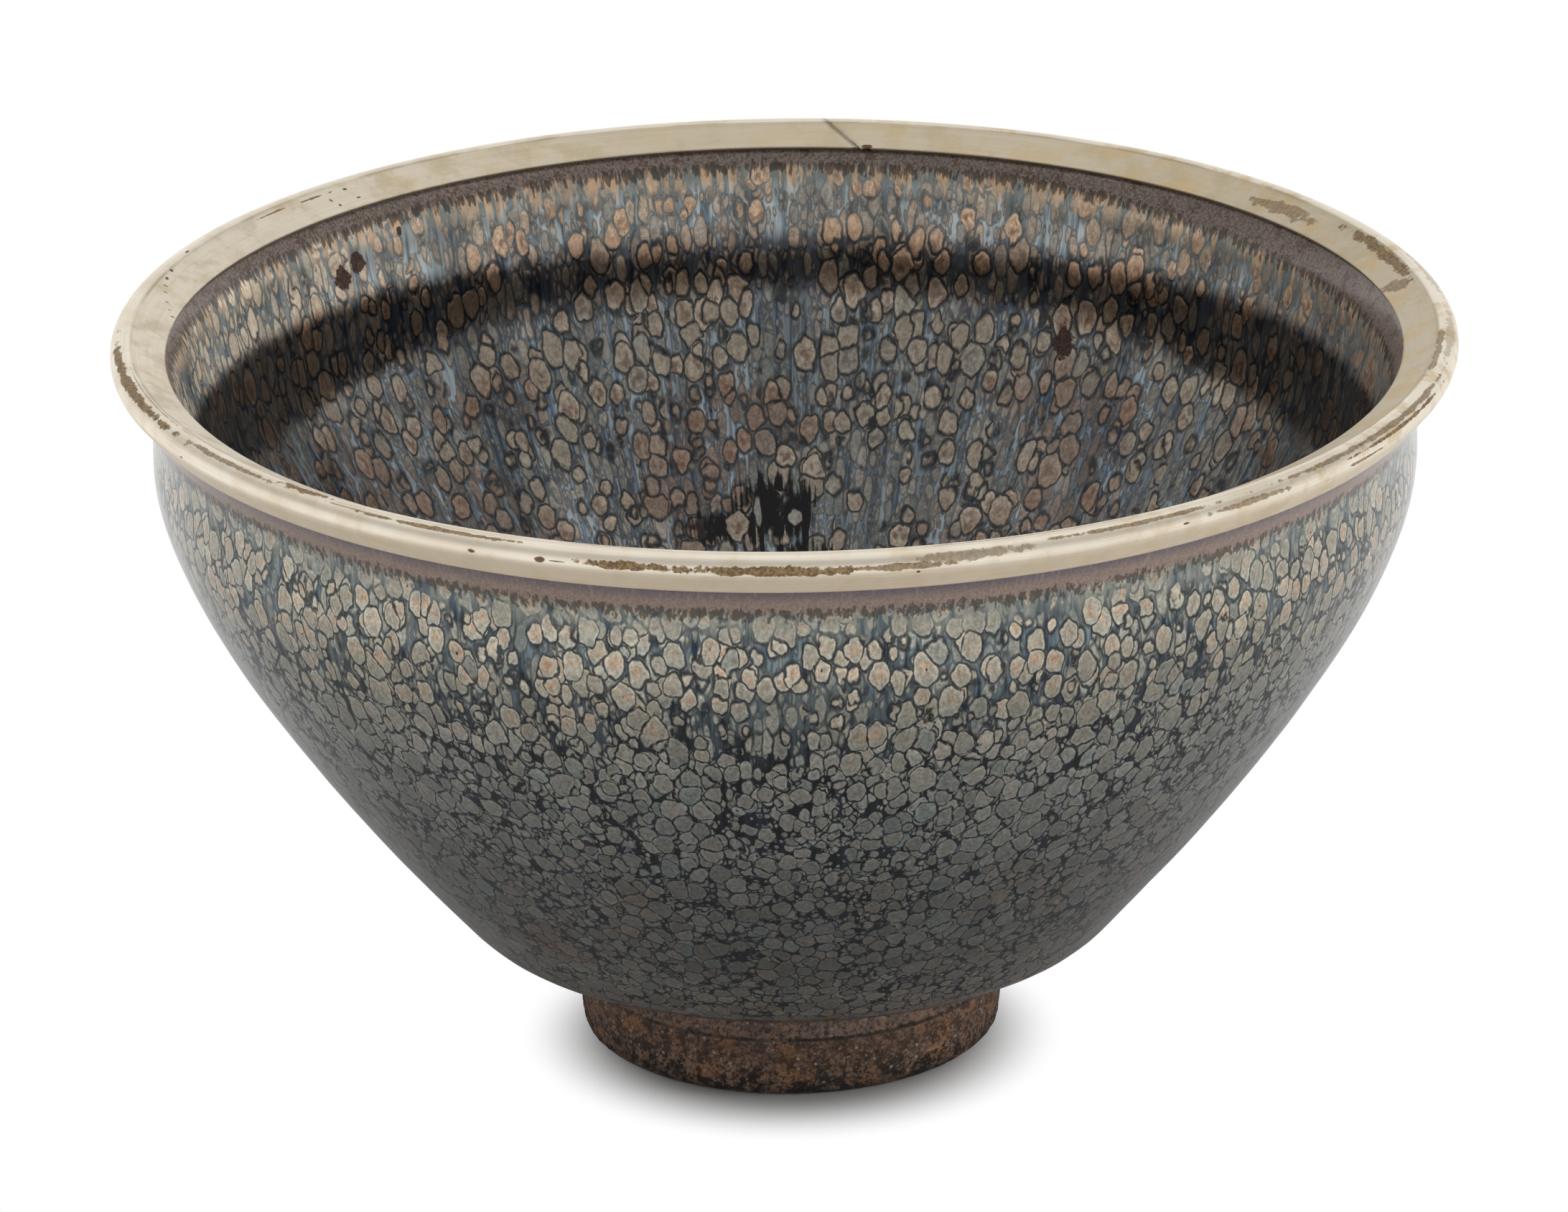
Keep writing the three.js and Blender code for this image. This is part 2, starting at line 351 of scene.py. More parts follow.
clay_lip = lip_path(CLAY_LIP_RADIUS, CLAY_LIP_STEP, LIP_EDGE_MARGIN)
ledge_line = respaced(np.array([GLAZE_EDGE, CUT_LINE]), WALL_STEP)
outer_line = smooth_line([*OUTER_WALL, clay_lip[0]], WALL_STEP)
inner_line = smooth_line([clay_lip[-1], *INNER_WALL], WALL_STEP)
inner_line[-1] = INNER_WALL[-1]


# Forms turned on the wheel

def linked(name, data):
    """A new object in the scene."""
    made = bpy.data.objects.new(name, data)
    bpy.context.scene.collection.objects.link(made)
    return made


def outline_object(name, points, marks=None, fine_marks=None, give=None):
    """A line in the section as an object. Its points carry marks and fine_marks, which the materials read,
    and give: how far they follow the glaze edge's run, its swelling and the wheel's unevenness."""
    mesh = bpy.data.meshes.new(name)
    rows = [(r * MM, 0.0, z * MM) for r, z in points]
    mesh.from_pydata(rows, [(i, i + 1) for i in range(len(rows) - 1)], [])
    for label, values in (("marks", marks), ("fine_marks", fine_marks), ("give", give)):
        carried = np.zeros((len(rows), 3)) if values is None else np.asarray(values, float)
        stored = mesh.attributes.new(label, "FLOAT_VECTOR", "POINT")
        stored.data.foreach_set("vector", carried.astype(np.float32).ravel())
    return linked(name, mesh)


def new_tree(name, inputs):
    tree = bpy.data.node_groups.new(name, "GeometryNodeTree")
    for label, kind, value in inputs:
        socket = tree.interface.new_socket(label, in_out="INPUT", socket_type="NodeSocket" + kind)
        if value is not None:
            socket.default_value = value
    tree.interface.new_socket("Geometry", in_out="OUTPUT", socket_type="NodeSocketGeometry")
    return tree, tree.nodes.new("NodeGroupInput"), tree.nodes.new("NodeGroupOutput")


def grown(name, tree, values):
    """The tree's result as a plain mesh in an object of its own."""
    holder = linked(name + "_form", bpy.data.meshes.new(name + "_form"))
    modifier = holder.modifiers.new("form", "NODES")
    modifier.node_group = tree
    for item in tree.interface.items_tree:
        if item.in_out == "INPUT" and item.name in values:
            modifier[item.identifier] = values[item.name]
    bpy.context.view_layer.update()
    evaluated = holder.evaluated_get(bpy.context.evaluated_depsgraph_get())
    mesh = bpy.data.meshes.new_from_object(evaluated)
    mesh.name = name
    bpy.data.objects.remove(holder)
    return linked(name, mesh)


def geometry(tree, kind, sockets=None, result=0, **settings):
    return out(node(tree, "GeometryNode" + kind, sockets, **settings), result)


def named_vector(tree, label):
    return geometry(tree, "InputNamedAttribute", {"Name": label}, data_type="FLOAT_VECTOR")


def drip_share(azimuth, value):
    """1 in the middle of the drip, falling off to 0 on either side."""
    turn = azimuth - value["Drip azimuth"]
    turn = turn.math("SINE").math("ARCTAN2", turn.math("COSINE")) / value["Drip spread"]
    return (turn * turn * -1).math("EXPONENT")


def turned_place(section, azimuth, give, value):
    """A point of the section, moved by the edge's wave and the drip, and turned to its azimuth."""
    run_share, swell_share, _ = split(give)
    waves = [(azimuth * count + count).math("SINE") for count in WAVE_COUNTS]
    wave = sum(waves[1:], waves[0]) * value["Edge wave"] / len(WAVE_COUNTS)
    drip = drip_share(azimuth, value)
    run = (wave + drip * value["Drip run"]) * run_share
    swell = drip * value["Drip bulge"] * swell_share
    cosine, sine = value["Edge slope"].math("COSINE"), value["Edge slope"].math("SINE")
    radius, _, height = split(section)
    radius = radius - run * cosine + swell * sine
    height = height - run * sine - swell * cosine
    return combined(radius * azimuth.math("COSINE"), radius * azimuth.math("SINE"), height)


def turning_tree():
    """Turns an outline round the axis, with a wavy edge, one drip and the slight unevenness of the wheel."""
    tree, given, result = new_tree("turned_form", [
        ("Outline", "Object", None), ("Material", "Material", None), ("Turns", "Int", STONEWARE_TURNS),
        *((label, "Float", 0.0) for label in (
            "Edge wave", "Edge slope", "Drip azimuth", "Drip run", "Drip bulge",
            "Seam gap", "Seam start", "Seam slant", "Unevenness",
        )),
        ("Drip spread", "Float", 1.0), ("Unevenness pitch", "Float", 100.0),
    ])
    value = {socket.name: Field(socket) for socket in given.outputs if socket.name}
    line = geometry(tree, "ObjectInfo", {"Object": value["Outline"]}, "Geometry")
    rows = geometry(tree, "AttributeDomainSize", {0: line}, "Point Count")
    form = geometry(tree, "MeshGrid", {
        "Size X": 1.0, "Size Y": 1.0, "Vertices X": value["Turns"] + 1, "Vertices Y": rows,
    }, "Mesh")
    place = geometry(tree, "InputPosition")
    across, up, _ = split(place)
    row = ((up + 0.5) * (rows - 1)).math("ROUND")

    def carried(field):
        sample = node(tree, "GeometryNodeSampleIndex", {"Geometry": line, "Index": row},
                      data_type="FLOAT_VECTOR", domain="POINT")
        plug([s for s in sample.inputs if s.name == "Value" and s.enabled][0], field)
        return out(sample)

    numbers = {label: carried(named_vector(tree, label)) for label in ("marks", "fine_marks", "give")}
    _, slant, _ = split(numbers["marks"])
    turn = 2 * math.pi - value["Seam gap"]
    azimuth = (across + 0.5) * turn + value["Seam start"] + value["Seam slant"] * slant
    for label, field in numbers.items():
        form = geometry(tree, "StoreNamedAttribute", {"Geometry": form, "Name": label, "Value": field},
                        data_type="FLOAT_VECTOR", domain="POINT")
    place_turned = turned_place(carried(place), azimuth, numbers["give"], value)
    form = geometry(tree, "SetPosition", {"Geometry": form, "Position": place_turned})
    form = geometry(tree, "MergeByDistance", {0: form, "Distance": 1e-6})
    _, _, loose = split(named_vector(tree, "give"))
    push = (noise(place, value["Unevenness pitch"], 3.0) - 0.5) * value["Unevenness"] * loose
    push = scaled(geometry(tree, "InputNormal"), push)
    form = geometry(tree, "SetPosition", {"Geometry": form, "Offset": push})
    form = geometry(tree, "SetShadeSmooth", {0: form})
    form = geometry(tree, "RealizeInstances", {0: form})
    plug(result.inputs[0], geometry(tree, "SetMaterial", {0: form, "Material": value["Material"]}))
    return tree


def faced_outwards(piece):
    """Turns the faces round where the form holds a negative volume."""
    form = bmesh.new()
    form.from_mesh(piece.data)
    if form.calc_volume(signed=True) < 0:
        piece.data.flip_normals()
    form.free()
    return piece


def turned(name, outline, material, **sizes):
    """A piece turned from its outline. Each size goes to the tree's input of the same words."""
    values = {label.replace("_", " ").capitalize(): size for label, size in sizes.items()}
    piece = grown(name, TURNING, {
        "Outline": outline, "Material": material,
        "Edge slope": LEDGE_SLOPE, "Drip azimuth": DRIP_AZIMUTH, "Drip spread": DRIP_SPREAD, **values,
    })
    bpy.data.objects.remove(outline)
    return faced_outwards(piece)


# What the materials share

def new_material(name, roughness, metallic=0.0, shine=0.5):
    material = bpy.data.materials.new(name)
    material.use_nodes = True
    tree = material.node_tree
    tree.nodes.clear()
    surface = node(tree, "ShaderNodeBsdfPrincipled", {
        "Roughness": roughness, "Metallic": metallic, "Specular IOR Level": shine,
    })
    node(tree, "ShaderNodeOutputMaterial", {0: out(surface)})
    return material, tree, surface


def object_place(tree):
    """Where the point is, in millimetres."""
    return scaled(out(node(tree, "ShaderNodeTexCoord"), "Object"), 1 / MM)


def attribute(tree, name):
    return out(node(tree, "ShaderNodeAttribute", attribute_name=name), "Vector")


def finished(surface, relief, distance, **sockets):
    """Joins a material's fields to its shader. The relief is bump, its height 1 a distance in millimetres."""
    for name, field in sockets.items():
        plug(surface.inputs[name.replace("_", " ")], field)
    made = node(relief.tree, "ShaderNodeBump", {"Height": relief, "Distance": distance * MM, "Strength": 1.0})
    plug(surface.inputs["Normal"], out(made))


def off_mark(place, middle, size, height):
    """How far a point is from a mark's middle, 1 at its edge."""
    off = vector_math("SUBTRACT", place, middle)
    off = vector_math("DIVIDE", off, (size, size, height))
    return vector_math("LENGTH", off, result=1)


def near_line(place, first, last):
    """How far a point is from the straight line between two points."""
    first, last = np.array(first), np.array(last)
    ahead = last - first
    off = vector_math("SUBTRACT", place, tuple(first))
    share = vector_math("DOT_PRODUCT", off, tuple(ahead / (ahead @ ahead)), result=1)
    nearest = scaled(tuple(ahead), share.most(0.0).least(1.0))
    return vector_math("LENGTH", vector_math("SUBTRACT", off, nearest), result=1)


# Glaze

# Its marks, by middle, half width and half height in millimetres, and the scratch by its two ends
SCABS = (
    ((26.8, 44.0, 50.7), 1.15, 1.9), ((-40.4, 36.9, 61.9), 1.2, 1.0), ((-42.0, 35.2, 60.9), 1.1, 1.3),
    ((-44.5, 32.8, 62.6), 0.5, 0.5), ((-36.5, 41.0, 63.6), 0.4, 0.6),
)
PITS = (
    ((-45.4, -25.2, 41.5), 0.28, 0.2), ((-52.6, -20.0, 52.0), 0.16, 0.14),
    ((48.6, -24.6, 46.0), 0.15, 0.14), ((40.0, -36.0, 47.5), 0.16, 0.12),
)
BARE_PATCHES = (
    ((-1.0, 40.8, 35.0), 4.8, 3.4), ((1.0, 36.5, 29.5), 4.8, 4.4), ((-7.0, 40.0, 33.5), 3.0, 1.6),
)
# Patches where the inside's streaks are paler and bluer: partly the glaze's own blue, partly a painted soft
# reflection
BLUE_SHEEN_PATCHES = (
    ((32.0, 35.5, 43.0), 6.5, 5.5), ((-20.0, 46.0, 47.0), 8.0, 6.0), ((22.0, 34.0, 34.0), 8.0, 4.0),
)
TEAR = ((18.3, -39.0, 27.6), 1.2, 2.6)
SCRATCH = ((23.3, -23.0, 15.3), (29.3, -23.6, 21.0))

# Sizes of its drops, the radius at which patterns that run down the wall keep their width, and what is
# added to a depth below the band, so that its sign tells the outside from the inside
LARGE_SPOT, OVERLAPPED_SPOT, MIDDLING_DROP, SMALL_DROP = 2.0, 1.7, 1.2, 0.55
PATTERN_RADIUS = 57
SIDE_MARK = 5.0

# The length of wall that the spots' colours run over, and those colours by its shares from the band down
COLOUR_RUN = 76
SPOTS_OUTSIDE = (
    (0.05, (172, 166, 151)), (0.16, (167, 161, 146)), (0.24, (158, 156, 146)), (0.34, (145, 145, 139)),
    (0.52, (125, 124, 119)), (0.66, (120, 118, 112)), (0.75, (140, 136, 128)), (0.84, (130, 116, 102)),
)
SPOTS_INSIDE = (
    (0.02, (240, 202, 168)), (0.1, (224, 190, 160)), (0.15, (185, 174, 158)), (0.4, (183, 172, 157)),
    (0.6, (179, 167, 152)), (1.0, (166, 155, 144)),
)

# The dark ring inside, as the wall opposite is mirrored there: the heights between which it ends, how much
# its foot dips to the sides, and how it darkens the ground and the spots
RING_TOP, RING_FOOT, RING_FOOT_DIP = (57.8, 59.8), (52.0, 53.8), 0.0011
RING_ON_GROUND, RING_ON_SPOTS = (0.16, 0.16, 0.18, 1), (0.54, 0.48, 0.45, 1)


class GlazeGuides:
    """Where a point of the glaze lies, and the patterns that several of its layers follow."""

    def __init__(self, tree):
        self.place = object_place(tree)
        self.across, self.along, self.height = split(self.place)
        depth, self.flow, swell = split(attribute(tree, "marks"))
        fine_swell, fine_flow, _ = split(attribute(tree, "fine_marks"))
        self.outside = depth.math("GREATER_THAN", 0.0)
        self.within = 1 - self.outside
        self.below = depth.math("ABSOLUTE") - SIDE_MARK
        self.upper = self.below.ramp(9.0, 22.0, 1.0, 0.0)
        self.opened = self.upper * self.outside + self.within * 0.8
        # Beside the lip inside, the ground and the spots are painted lighter as painted sheen of the bright
        # surroundings, and more at the left as painted light
        self.near_lip_sheen = self.within * (1 - self.below.ramp(6.5, 8.4))
        self.left_lip_light = self.near_lip_sheen * (1 - self.across.ramp(-52.0, -24.0))

        cells = combined(self.across * swell, self.along * swell, self.flow)
        drops = combined(self.across * fine_swell, self.along * fine_swell, fine_flow)
        wobble = vector_math("SUBTRACT", noise(cells, 0.9, 1.5, colour=True), (0.5, 0.5, 0.5))
        self.cells = vector_math("ADD", cells, scaled(wobble, 0.8))
        self.drops = vector_math("ADD", drops, scaled(wobble, 0.5))

        radius = (self.across * self.across + self.along * self.along).math("SQRT").most(0.5)
        self.ring = [self.across / radius * PATTERN_RADIUS, self.along / radius * PATTERN_RADIUS]
        self.thread = noise(self.down_wall(0.16), 1.5, 3.0, 0.6)
        self.bare = noise(self.down_wall(0.3), 0.17, 2.0).ramp(0.4, 0.62)
        self.grain = noise(self.place, 4.0, 3.0, 0.7)
        self.mottle = noise(self.cells, 3.0, 4.0, 0.75)
        self.fray = noise(self.down_wall(0.3), 2.4, 3.0, 0.75)
        self.strip = self.outside * 2.1 + 1.0 + self.within * self.across.ramp(20.0, 52.0) * 1.4
        self.past_strip = self.below + (self.fray - 0.5) * 1.5 - self.strip

    def down_wall(self, pace):
        """A place for patterns that run down the wall, the longer the smaller the pace."""
        return combined(*self.ring, self.flow * pace)


def spot_layer(cells, size, reach, crowding=0.16, least=0.3, gap=0.038, shift=0.0):
    """Rounded spots of one size, crowded in patches and left out where less than the least. Gives how far
    inside a spot a point is in millimetres, less than zero outside, and the spot's traits: its three random
    values, then the distance from its middle and the height above it in spot sizes."""
    at = vector_math("ADD", scaled(cells, 1 / size), (shift, -shift, shift))
    near, edge = voronoi(at), out(voronoi(at, "DISTANCE_TO_EDGE"))
    middle, centre = out(near, "Distance"), out(near, "Position")
    chance = split(out(near, "Color"))
    patch = noise(vector_math("MULTIPLY", centre, (1.0, 1.0, 0.55)), 0.42, 1.0)
    limit = reach + patch.ramp(0.36, 0.64, -0.5, 0.5) * crowding + (chance[0] - 0.5) * 0.14
    limit = limit - limit.math("LESS_THAN", least) * 2
    inside = (limit - middle).round_least(edge - gap, 0.06) * size
    return inside, [*chance, middle, split(at)[2] - split(centre)[2]]


def uppermost(share, top, under):
    """The top's values where its share is 1, and the others where it is 0."""
    return [low * (1 - share) + high * share for high, low in zip(top, under)]


def glaze_spots(at):
    """Large spots in two layers, one partly over the other, and between them middling and small drops."""
    within, upper, opened = at.within, at.upper, at.opened
    stream = noise(at.down_wall(0.18), 0.4, 1.5).ramp(0.53, 0.64) * at.outside * at.below.ramp(7.0, 13.0)
    stream = stream * at.below.ramp(30.0, 50.0, 1.0, 0.2)
    thin = at.bare * (at.outside * 0.04 + 0.05) + stream * 0.09
    middling, middling_traits = spot_layer(
        at.drops, MIDDLING_DROP, 0.46 + opened * 0.03 - stream * 0.03,
        crowding=0.26, least=0.26, gap=0.05, shift=11.3)
    small, small_traits = spot_layer(
        at.drops, SMALL_DROP, 0.42 + opened * 0.02, crowding=0.3, least=0.26, gap=0.08, shift=23.9)
    front, front_traits = spot_layer(
        at.cells, LARGE_SPOT, 0.54 - within * 0.13 - upper * 0.05 - thin, shift=3.7)
    behind, behind_traits = spot_layer(
        at.cells, OVERLAPPED_SPOT, 0.52 - within * 0.18 - upper * 0.03 - thin, shift=7.9)

    large = front.most(behind.least(front * -1 - 0.1)) + (noise(at.cells, 2.6, 2.0, 0.6) - 0.5) * 0.22
    *large_chance, middle, rise = uppermost(front.ramp(-0.04, 0.0), front_traits, behind_traits)
    outline = 0.12 + opened * 0.03
    middling = middling.least(large * -1 - outline)
    small = small.least(large * -1 - outline).least(middling * -1 - 0.04)
    inside = large.most(middling).most(small)
    on_large, on_middling = large.ramp(-0.08, 0.0), middling.ramp(-0.06, 0.0)
    chance = uppermost(on_large, large_chance, uppermost(on_middling, middling_traits[:3], small_traits[:3]))
    on_drop = (inside / (opened * 0.06 + 0.04)).ramp(-0.8, 1.2) * (1 - opened * at.bare * 0.4)
    on_spot = (large / (within * 0.04 + 0.04)).ramp(-0.9, 1.2).most(on_drop)
    return SimpleNamespace(
        stream=stream, large=large, inside=inside, middle=middle, rise=rise, on_large=on_large,
        on_drop=on_drop, on_spot=on_spot, chance=chance, large_chance=large_chance,
        middling_chance=middling_traits[:3],
    )


def spot_light(at, spots):
    """How light a spot is: by chance, with fine grain, a paler rim outside, and lighter beside the lip inside
    as painted sheen, more so at the left as painted light.
    """
    light = (spots.chance[2] * 0.34 + 0.83) * (at.grain * 0.5 + 0.75) * at.mottle.ramp(0.32, 0.68, 0.66, 1.26)
    rim = spots.inside.hump(0.01, 0.08, 0.1, 0.24) * at.outside * 0.2 + 1
    light = light * rim * (at.near_lip_sheen * 0.2 + at.left_lip_light * 0.35 + 1)
    return combined(light, light, light)


def spot_colour(at, spots):
    """Oil-grey spots with a warm middle on some, a pinhole in others, rust in patches and cooler drops, and
    paler at the left beside the lip as painted light.
    """
    share = at.below / COLOUR_RUN
    outside, within, on_large, chance = at.outside, at.within, spots.on_large, spots.chance
    drop_tint = mixed(outside, (142, 158, 162), (156, 162, 154))
    lesser = (1 - on_large) * at.opened.most(spots.stream)
    lesser = lesser * (spots.middling_chance[1] * 0.5 + 0.2 + within * 0.25)
    core = (spots.rise - 0.1) * (spots.rise - 0.1) + spots.middle * spots.middle * 0.8
    warm = (1 - core.ramp(0.0, 0.18)) * on_large * noise(at.cells, 1.9, 2.0).ramp(0.35, 0.6)
    warm = warm * spots.large_chance[2].ramp(0.1, 0.6)
    pinhole = (1 - spots.middle.ramp(0.035, 0.075)) * (chance[1] * 40).math("SINE").ramp(0.5, 0.6)
    rust = noise(at.place, 0.11, 3.0, 0.6).ramp(0.5, 0.66) * at.below.ramp(30.0, 46.0) * outside
    rust_inside = noise(at.place, 0.07, 2.0).ramp(0.46, 0.6) * at.below.ramp(14.0, 22.0) * within
    cool = chance[1].ramp(0.7, 1.0) * 0.35 + (spots.rise * -1).ramp(0.15, 0.5) * on_large * 0.3
    colour = painted(
        mixed(outside, colour_ramp(share, SPOTS_INSIDE), colour_ramp(share, SPOTS_OUTSIDE)),
        (lesser, drop_tint),
        (warm * (at.upper * 0.5 + 0.15) * outside, (188, 146, 112)),
        (within * (1 - spots.inside.ramp(0.12, 0.5)) * 0.35, (196, 178, 156)),
        (warm * within * 0.8, (116, 86, 72)),
        (pinhole * at.opened * outside, (58, 44, 38)),
        (rust * 0.6, (128, 106, 92)),
        (rust_inside * 0.55, (138, 102, 86)),
        (cool, (118, 136, 136)),
        # Painted light: the spots at the left beside the lip are painted paler
        (at.left_lip_light * 0.6, (248, 236, 214)),
    )
    return tinted(colour, spot_light(at, spots))


def ground_light(at, spots):
    """How far the glassy ground shows its blue streaks: less beside a spot and far down the outside, and more
    beside the lip inside, as painted sheen.
    """
    open_share = at.outside * at.upper * (1 - at.below.ramp(7.0, 20.0) * 0.7)
    open_share = open_share + at.within * (1 - at.bare * 0.4) * 0.95
    # Beside the lip inside, less darkening near the spots and a lighter ground: painted sheen
    shade = (spots.large * -1).ramp(0.04, 0.34) * (0.86 - at.near_lip_sheen * 0.5) + 0.14 + at.near_lip_sheen * 0.5
    return shade * (spots.inside * -1).ramp(-0.02, 0.1, 0.25, 1.0) * open_share


def ground_colour(at, lit):
    thread = at.thread
    # Paler, bluer streaks in patches: partly the glaze's blue, partly a painted soft reflection
    blue = strongest(1 - off_mark(at.place, *mark).ramp(0.5, 1.3) for mark in BLUE_SHEEN_PATCHES)
    streaks_inside = painted(
        mixed(thread.ramp(0.34, 0.62), (94, 113, 134), (194, 206, 210)),
        (blue * 0.8, mixed(thread.ramp(0.38, 0.6), (96, 128, 160), (202, 218, 228))),
    )
    streaks_outside = mixed(thread.ramp(0.34, 0.66), (40, 54, 70), (130, 146, 150))
    streaks = painted(
        mixed(at.outside, streaks_inside, streaks_outside),
        # Painted sheen: paler streaks beside the lip inside
        (at.near_lip_sheen, mixed(thread.ramp(0.34, 0.6), (128, 148, 162), (218, 228, 228))),
    )
    return mixed(lit, mixed(thread.ramp(0.4, 0.7), (12, 13, 16), (30, 36, 46)), streaks)


def with_lip_strip(at, spots, glaze):
    """Beside the band the glaze is thin: mauve, then a speckled seam, then a pale comb of runs."""
    strip, past, within = at.strip, at.past_strip, at.within
    comb = noise(at.down_wall(0.22), 1.15, 1.0)
    pale_inside = mixed((comb - past * 0.035).ramp(0.44, 0.5), (150, 158, 154), (238, 204, 168))
    pale_outside = mixed(at.thread.ramp(0.36, 0.62), (88, 104, 112), (158, 158, 146))
    pale_share = (1 - past.ramp(0.8, 3.2)) * (1 - spots.inside.ramp(-0.05, 0.1) * 0.75)
    mauve_outside = mixed((at.below / strip).ramp(0.25, 0.8), (112, 102, 110), (156, 136, 124))
    mauve = painted(
        mixed(at.outside, (158, 142, 132), mauve_outside),
        (at.grain.ramp(0.4, 0.6) * (within * 0.35 + 0.4), (92, 80, 76)),
        (at.fray.ramp(0.5, 0.7) * 0.35, (168, 150, 136)),
        (noise(at.place, 0.5, 4.0, 0.7).ramp(0.52, 0.62) * within * 0.6, (92, 66, 52)),
    )
    specks = noise(at.down_wall(0.7), 2.2, 2.0, 0.6)
    seam = past.hump(-0.7, 0.1, 0.0, 1.4)
    speckled = (specks + seam * 0.2).ramp(0.59, 0.69) * seam.ramp(0.0, 0.3)
    return painted(
        glaze,
        (pale_share, mixed(at.outside, pale_inside, pale_outside)),
        (1 - past.ramp(-0.3, 0.5), mauve),
        (speckled * 0.75, (66, 56, 48)),
    )


def mirrored_ring(at):
    """How far a point lies in the dark ring, whose edges are ragged."""
    ragged = (at.thread - 0.5) * 3 + (noise(at.cells, 0.5, 2.0) - 0.5) * 2
    foot = at.height + at.across * at.across * RING_FOOT_DIP + ragged
    return at.within * (1 - (at.height + ragged * 0.5).ramp(*RING_TOP)) * foot.ramp(*RING_FOOT)


def glaze_marks(at, spots):
    """How far each kind of mark covers a point: the black patch, scabs and pits, the scratch, the tear."""
    place, on_large = at.place, spots.on_large
    torn = (noise(place, 0.7, 4.0, 0.7) - 0.5) * 1.5
    hollow = strongest(
        1 - (off_mark(place, *mark) + torn * 0.6 + (at.thread - 0.5) * 2.2).ramp(0.7, 1.0)
        for mark in BARE_PATCHES
    )
    hollow = hollow * (1 - on_large * spots.large_chance[2].ramp(0.78, 0.84))
    hollow = hollow * (1 - spots.on_drop * (1 - on_large) * spots.chance[1].ramp(0.5, 0.56))
    scab = strongest([
        *(1 - (off_mark(place, *mark) + torn * 1.3).ramp(0.8, 1.0) for mark in SCABS),
        *(1 - off_mark(place, *mark).ramp(0.7, 1.1) for mark in PITS),
    ])
    line = near_line(place, *SCRATCH) + (noise(place, 1.4, 2.0) - 0.5) * 0.25
    return hollow, scab, 1 - line.ramp(0.04, 0.14), 1 - off_mark(place, *TEAR).ramp(0.1, 1.1)


def glaze_material():
    material, tree, surface = new_material("oil_spot_glaze", roughness=0.2, shine=0.32)
    at = GlazeGuides(tree)
    spots = glaze_spots(at)
    lit = ground_light(at, spots)
    hollow, scab, scratch, tear = glaze_marks(at, spots)
    glaze = mixed(spots.on_spot, ground_colour(at, lit), spot_colour(at, spots))
    glaze = with_lip_strip(at, spots, glaze)
    glaze = painted(
        glaze,
        (mirrored_ring(at), tinted(glaze, mixed(spots.on_spot, RING_ON_GROUND, RING_ON_SPOTS))),
        (hollow, (6, 7, 10)),
        (scab * 0.92, mixed(at.grain.ramp(0.4, 0.6), (58, 38, 33), (92, 66, 56))),
        (scratch * 0.75, (26, 22, 20)),
        (tear * 0.4, (150, 128, 104)),
    )
    thick = at.past_strip.ramp(0.0, 1.0)
    metal = spots.on_spot.most(lit * 0.8) * (0.75 - at.near_lip_sheen * 0.2 - at.left_lip_light * 0.25)
    metal = metal * (thick * (1 - scab)).most(at.within * 0.5) * (1 - hollow) * (1 - scratch)
    rough = spots.on_spot * thick * 0.1 + 0.06 + scab * 0.5 + at.mottle * 0.05 + at.near_lip_sheen * 0.15
    relief = spots.inside.ramp(-0.2, 0.25) * at.past_strip.ramp(0.0, 1.5) + at.grain * 0.15
    relief = relief + scab * 3 - scratch * 3 + tear * 8
    finished(surface, relief, 0.02, Base_Color=glaze, Metallic=metal, Roughness=rough)
    return material


# Stoneware

FIRED_CLAY = (0.6, 0.61, 0.65, 1)


